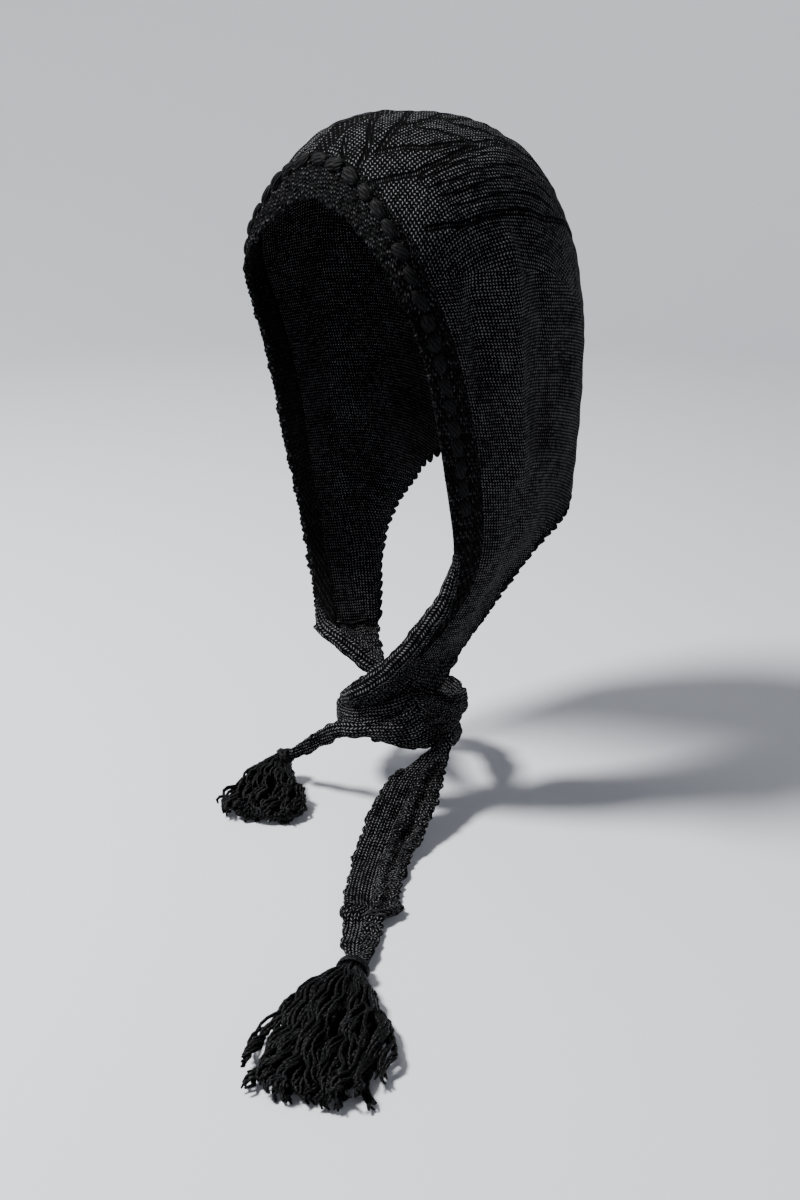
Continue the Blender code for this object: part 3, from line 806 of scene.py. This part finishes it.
# the ties in mm: one edge, the other edge and the thickness at each station; an edge's place is given as
# across (x = y), out (x = -y) and up
tie = dict(
    steps=520, around=160, stitch=0.0022, row=0.0024, ridge=0.00022, firstStitch=100,
    picot=0.002, picotPitch=0.0062, picotWidth=0.1, open=(0.018, 0.012),
    sway=0.25, swayLength=0.013, crease=0.0014, creaseTurns=1.5, creaseRun=45, creaseMean=0.6,
    dents=((0.0009, 0.013, 0), (0.0004, 0.005, 7)), calm=0.5, clearance=0.0002,
    rect=(0.005, 0.005, 0.99, 0.81),
    # lengthwise folds of the wide stretch: place across from -1 to 1, half width, height in mm
    pleats=((-0.86, 0.12, 1.5), (-0.55, 0.11, -1.3), (-0.25, 0.12, 1.8), (0.12, 0.16, -1.4),
            (0.5, 0.2, 0.7), (0.86, 0.12, 1.6)),
    left=(
        (-1.4, 63.4, -344.6, 40, 20.7, -359, 0.8), (-4.6, 61.9, -348.9, 37.4, 20.4, -363.6, 2.8),
        (-13, 60, -356, 20, 35, -384, 3.6), (-28, 54, -370, -9, 42, -390, 5.0),
        (-38, 42, -382, -33, 38, -394, 6.0), (-41, 16, -391, -41, 15, -404, 6.5),
        (-30, -14, -398, -30, -15, -412, 6.5), (0, -31, -400, 0, -31, -416, 7.0),
        (27, -18, -403, 27, -18, -419, 6.5), (33, 8, -402, 34, 8, -423, 6.5),
        (35, 34, -394, 36, 34, -421, 7.0), (25, 52, -383, 28, 50, -415, 7.0),
        (9, 59, -376, 16, 57, -399, 7.0), (-1, 62, -386, 8, 61, -404, 7.0),
        (-11, 61, -393, -4, 62, -408, 7.0), (-22, 54, -398, -18, 55, -413, 7.0),
        (-17, 46, -404, -15, 46, -417, 6.5), (2, 47, -407, 2, 48, -421, 6.5),
        (18, 48, -403, 17, 49, -419, 6.5), (30, 48, -402, 26, 50, -417, 6.0),
        (32, 56, -414, 17, 57, -419, 5.0), (28, 66, -427, 2, 65, -427, 4.2),
        (24, 77, -436, -13, 75, -435, 3.6), (14, 103, -452, -26, 100, -450, 3.4),
        (3, 126, -461, -33, 129, -461, 3.4), (-5, 170, -463.5, -38, 170, -463.5, 3.6),
        (-4, 188, -461.5, -38, 187, -462.5, 6.5), (-13, 196, -461, -38, 195, -462.5, 8.0),
        (-15, 206, -463.2, -38, 204, -463.2, 4.0), (-18, 225, -462, -38.5, 222, -462, 6.0),
        (-23, 243, -461, -33, 241, -461, 8.0),
    ),
    right=(
        (-63.5, 8, -344.3, -20.8, -36.4, -359, 0.8), (-61.9, 5.4, -348.9, -20.4, -36.6, -363.6, 2.8),
        (-50, 12, -356, -18, -5, -372, 4.0), (-33, 25, -364, -10, 14, -378, 5.0),
        (-14, 36, -371, -6, 30, -386, 6.0), (13, 36, -384, 13, 34, -399, 6.5),
        (37, 17, -393, 37, 16, -410, 6.5), (42, -7, -400, 42, -7, -417, 6.5),
        (29, -31, -402, 29, -31, -418, 6.5), (0, -43, -405, 0, -43, -421, 6.5),
        (-32, -31, -405, -32, -31, -420, 6.5), (-46, 8, -402, -46, 8, -418, 6.5),
        (-38, 38, -394, -37, 38, -410, 6.5), (-26, 51, -386, -24, 51, -401, 7.0),
        (-8, 55, -379, -5, 55, -393, 7.0), (7, 51, -375, 9, 51, -389, 6.5), (12, 44, -380, 13, 44, -393, 6.0),
        (3, 41, -389, 4, 41, -401, 6.0), (-10, 45, -397, -10, 45, -408, 6.0),
        (-23, 51, -399, -22, 51, -411, 7.5), (-37, 50, -400, -36, 50, -412, 8.5),
        (-50, 42, -405, -47, 42, -417, 7.5), (-63, 34, -416, -61, 34, -427, 9.0),
        (-75, 26, -428, -73, 26, -438, 7.5), (-83, 20, -437, -81, 20, -445, 7.0),
    ),
    # the flap's rolled front edge that runs on into the tie: across, out, up and radius
    leftRoll=(
        (33, 77, -262, 1.5), (31, 76.5, -278, 3.6), (27, 75, -293, 5.2), (19, 72.5, -309, 6.2),
        (10, 69, -325, 6.6), (-1, 65.5, -341, 6.8), (-10.5, 62, -353, 6.8), (-22, 58.5, -364, 6.8),
        (-32.5, 52, -375, 6.4), (-38, 41, -384, 5.8), (-39.5, 27, -390, 5.0), (-38, 12, -394, 4.2),
        (-32, -3, -397, 3.0),
    ),
    rightRoll=(
        (-63, -1, -330, 1.0), (-61, 2, -338, 3.2), (-57, 6.5, -346, 5.2), (-49, 13, -351, 6.2),
        (-40, 18, -356, 6.5), (-29, 25, -362, 6.6), (-17, 32, -368, 6.4), (-4, 38, -375, 6.2),
        (9, 38, -383, 5.8), (23, 31, -389, 5.0), (35, 20, -395, 3.2),
    ),
)
roll = dict(sides=48, steps=170, columns=12, groove=0.0002, dents=((0.0007, 0.014, 0), (0.0003, 0.005, 1)),
        rect=(0.005, 0.83, 0.99, 0.12))


def frameVector(table):
    # from across, out and up, the first three columns, to x, y and z
    across, out, up = table.T[:3]
    half = math.sqrt(0.5)
    return np.stack([(across + out) * half, (across - out) * half, up], axis=-1)


def tubes(paths, radius, sides):
    # rings round each path, square to it, the first mark of each ring level with the floor
    ahead = unit(np.gradient(paths, axis=1))
    level = unit(np.cross(ahead, (0.0, 0.0, 1.0)))
    up = np.cross(level, ahead)
    angle = np.linspace(0, 2 * math.pi, sides, endpoint=False)[:, None]
    ring = level[:, :, None] * np.cos(angle) + up[:, :, None] * np.sin(angle)
    return paths[:, :, None] + ring * radius[:, :, None, None]


def addRoll(piece, table, seed):
    # a tube along the rolled edge, with a groove between each two columns of legs and soft dents
    at, values = tableSpline(table, roll["steps"] + 1)
    path = frameVector(values)
    radius = np.interp(at, range(len(table)), np.array(table)[:, 3]) / 1000
    points = tubes(path[None], radius[None], roll["sides"])[0]
    outward = unit(points - path[:, None])
    angle = np.linspace(0, 1, roll["sides"], endpoint=False)
    groove = roll["groove"] * np.abs(np.sin(np.pi * angle * roll["columns"]))
    points = points + outward * (groove + ripples(points, roll["dents"], seed))[..., None]
    index = piece.add(points)
    turns = np.linspace(0, roll["columns"], roll["sides"] + 1)
    piece.quads(closed(index), turns, wayAlong(path)[:, None] / tie["row"], roll["rect"])
    piece.lids(index[0], index[-1, ::-1])


def powered(value, power):
    return np.sign(value) * np.abs(value) ** power


def makeTie(name, node, table, rolled, seed):
    # between its two edges the section is a flattened ring: the cosine and the sine of the angle, to a power.
    # where it is wide it has pleats along it and picots at both edges, where it is narrow it has creases
    at, values = tableSpline(table, tie["steps"] + 1)
    a = frameVector(values)
    b = frameVector(values[:, 3:])
    thick = np.interp(at, range(len(table)), np.array(table)[:, 6])[:, None] / 1000
    middle = (a + b) / 2
    across = (b - a) / 2
    face = unit(np.cross(np.gradient(middle, axis=0), across))
    travelled = wayAlong(middle)[:, None]
    angle = np.linspace(0, 2 * math.pi, tie["around"] + 1) - math.pi / 2
    wide = powered(np.cos(angle), 0.7)
    deep = powered(np.sin(angle), 0.6)
    band = rise(2 * np.linalg.norm(across, axis=1), *tie["open"])[:, None]
    pleat = sum(up / 1000 * np.exp(-((wide - place) / width) ** 2) for place, width, up in tie["pleats"])
    sway = 1 + tie["sway"] * np.sin(travelled / tie["swayLength"] + seed)
    edge = np.exp(-((1 - np.abs(wide)) / tie["picotWidth"]) ** 2) * band * np.clip(at, 0, 1)[:, None]
    edge = tie["picot"] * edge * np.abs(np.sin(np.pi * travelled / tie["picotPitch"])) ** 0.6
    lift = thick / 2 * deep + pleat * band * sway * np.sign(face[:, 2:3] + 1e-6)
    points = middle[:, None] + (across[:, None] + unit(across)[:, None] * edge[..., None]) * wide[:, None]
    points = points + face[:, None] * lift[..., None]
    around = wayAlong(points, 1)
    normal = unit(np.cross(np.gradient(points, axis=1), np.gradient(points, axis=0)))
    flip = np.sign(((points - middle[:, None]) * normal).sum(axis=2).mean())
    crease = np.abs(np.sin(angle * tie["creaseTurns"] + travelled * tie["creaseRun"] + seed)) ** 0.8
    relief = tie["crease"] * (1 - band) * (crease - tie["creaseMean"])
    relief += ripples(points, tie["dents"], seed)
    relief += tie["ridge"] * np.abs(np.sin(np.pi * around / tie["stitch"]))
    calm = rise(np.minimum(at, at[-1] - at), 0, tie["calm"])[:, None]
    points = points + normal * (flip * relief * calm)[..., None]
    points[..., 2] = np.maximum(points[..., 2], floorHeight + tie["clearance"])
    piece = Patchwork(name)
    index = piece.add(points[:, :-1])
    ringed = closed(index)
    if flip > 0:
        ringed = ringed[:, ::-1]
        around = around[:, ::-1]
    piece.quads(ringed, around / tie["stitch"] + tie["firstStitch"], travelled / tie["row"], tie["rect"])
    piece.lids(ringed[0, :-1], ringed[-1, :-1][::-1])
    addRoll(piece, rolled, seed + 20)
    return piece.build(tieYarn, "tie_knit", node), travelled[-1, 0]


leftTie, leftLength = makeTie("tie_left_knit", "tie_left", tie["left"], tie["leftRoll"], 41)
rightTie, rightLength = makeTie("tie_right_knit", "tie_right", tie["right"], tie["rightRoll"], 42)
print("tie lengths", round(leftLength, 3), round(rightLength, 3))

tassel = dict(
    rings=33, sides=6, radius=0.00105, plyPitch=0.003, sway=0.003, crimp=0.0016, locks=34,
    loose=(0.22, 0.3), lockLength=(0.86, 1.05), strandLength=(0.95, 1.04),
    bends=(1.6, 3.2), crimps=(6, 9), rise=0.0012, pull=0.45, pullRange=(0.3, 0.5),
    curl=(-0.006, 0.006), curlRange=(0.75, 0.25), depth=0.9, clearance=0.0002,
    winds=5, windSteps=22, windFrom=0.145, windOver=0.05, windRadius=0.0011, windOff=0.0006,
    windClearance=0.0012, windRect=(0.1, 0.87, 0.8, 0.08),
)
# each tassel in mm, from its head to its end: place x, y and z, half width and half height
frontTassel = dict(count=205, seed=51, sections=(
        (152.3, -192.8, -460.5, 5.5, 5.0), (154.5, -197, -458.8, 8.5, 7.0), (157.5, -202.5, -457.5, 8.0, 7.0),
        (162, -210, -456.5, 12, 9.0), (168, -219, -456.5, 21, 9.8), (177, -232, -456.5, 30, 9.8),
        (187, -247, -457, 37, 9.3), (196, -262, -457.5, 41, 8.6), (204, -275, -458.5, 38, 7.6),
        (210, -285, -459.5, 29, 6.6), (214.5, -292.5, -460.5, 15, 5.4),
    ))
sideTassel = dict(count=150, seed=52, sections=(
        (-46.0, -71.9, -442.5, 4.0, 4.0), (-49.0, -72.8, -444.9, 6.8, 6.2), (-50.8, -76.5, -447.6, 7.0, 6.5),
        (-49.0, -83.0, -450.4, 12, 9.5), (-43.5, -91, -452.8, 19, 11.5), (-38, -100, -455.3, 26, 10.8),
        (-31, -109, -457.2, 31, 9.2), (-25, -117, -458.8, 33, 7.8), (-21, -123, -460.2, 27, 6.2),
        (-18, -127, -461.3, 17, 5.0),
    ))


def addTubes(piece, paths, radius, rect):
    index = piece.add(tubes(paths, radius, tassel["sides"]))
    turns = np.linspace(0, 1, tassel["sides"] + 1)
    run = wayAlong(paths, 1)[:, :, None] / tassel["plyPitch"]
    piece.quads(closed(index), turns, run, rect)
    for first, last in zip(index[:, 0], index[:, -1, ::-1]):
        piece.lids(first, last)


def inDisc(draw, count, reach):
    out = np.sqrt(draw.uniform(0, 1, count)) * reach
    turn = draw.uniform(0, 2 * math.pi, count)
    return out * np.cos(turn), out * np.sin(turn)


def sideways(ahead):
    # the level direction across the way ahead, and one square to both
    side = unit(np.cross(ahead, (0.0, 0.0, 1.0)))
    return side, np.cross(side, ahead)


def makeTassel(name, node, plan):
    # each strand keeps its share of the section from the head on, ends where the outline closes in, and sways
    draw = np.random.default_rng(plan["seed"])
    at, values = tableSpline(plan["sections"], 200)
    t = at / at[-1]
    full = np.maximum.accumulate(values[:, 3])
    high = values[:, 4]
    peak = int(np.argmax(values[:, 3]))
    count, locks = plan["count"], tassel["locks"]
    a, b = inDisc(draw, count, 0.96)
    ends = np.interp(-np.abs(a) * full[-1], -values[peak:, 3], t[peak:])
    lockA, lockB = inDisc(draw, locks, 0.95)
    lock = np.argmin(np.hypot(a[:, None] - lockA, b[:, None] - lockB), axis=1)

    def perLock(least, most, spread=0.0):
        # one draw for each lock and a small one for each of its strands
        shared = draw.uniform(least, most, locks)[lock][:, None]
        return shared + draw.uniform(-spread, spread, (count, 1)) if spread else shared

    ends = ends[:, None] * perLock(*tassel["lockLength"]) * draw.uniform(*tassel["strandLength"], (count, 1))
    ends = np.clip(ends, 0.45, 1.0)
    steps = np.linspace(0, 1, tassel["rings"])
    at = ends * steps
    middle = between(at, t, values[:, :3])
    ahead = unit(np.gradient(values[:, :3], axis=0))
    side, up = (between(at, t, axis) for axis in sideways(ahead))
    loose = rise(at, *tassel["loose"])
    bends = perLock(*tassel["bends"])
    phase = perLock(0, 1, 0.06)
    crimps = 2 * math.pi * (at * perLock(*tassel["crimps"], 0.3) + phase * 3)
    waves = tassel["sway"] * loose * np.sin(2 * math.pi * (at * bends + phase))
    waves += tassel["crimp"] * loose * np.sin(crimps)
    lift = tassel["crimp"] * loose * np.cos(crimps)
    lift += tassel["rise"] * loose * np.sin(2 * math.pi * (at * bends * 1.3 + phase * 2))
    # each lock draws in towards its own middle, and its tips curl to one side
    pull = tassel["pull"] * rise(at, *tassel["pullRange"])
    a = a[:, None] + (lockA[lock] - a)[:, None] * pull
    b = b[:, None] + (lockB[lock] - b)[:, None] * pull
    waves += rise(steps, *tassel["curlRange"]) ** 2 * perLock(*tassel["curl"])
    offset = np.interp(at, t, full) * a + waves
    lift += np.interp(at, t, high) * b * tassel["depth"]
    paths = middle + side * offset[..., None] + up * lift[..., None]
    radius = tassel["radius"] * (0.7 + 0.3 * rise(at, 0, 0.4)) * draw.uniform(0.85, 1.15, (count, 1))
    radius[:, 0] *= 0.5
    radius[:, -1] *= 0.6
    paths[..., 2] = np.maximum(paths[..., 2], floorHeight + radius + tassel["clearance"])
    piece = Patchwork(name)
    addTubes(piece, paths, radius, flatRect)
    # the binding: a yarn wound round the neck between the head and the loose strands
    wind = np.linspace(0, tassel["winds"] * 2 * math.pi, tassel["winds"] * tassel["windSteps"])
    place = tassel["windFrom"] + tassel["windOver"] * wind / wind[-1]
    side, up = sideways(unit(between(place, t, ahead)))
    wide = (np.interp(place, t, full) + tassel["windOff"]) * np.cos(wind)
    deep = (np.interp(place, t, high) + tassel["windOff"]) * np.sin(wind)
    turn = between(place, t, values[:, :3]) + side * wide[:, None] + up * deep[:, None]
    turn[:, 2] = np.maximum(turn[:, 2], floorHeight + tassel["windClearance"])
    addTubes(piece, turn[None], np.full((1, len(wind)), tassel["windRadius"]), tassel["windRect"])
    piece.build(tasselYarn, "tassel_yarn", node)


makeTassel("tassel_front_strands", "tassel_front", frontTassel)
makeTassel("tassel_side_strands", "tassel_side", sideTassel)
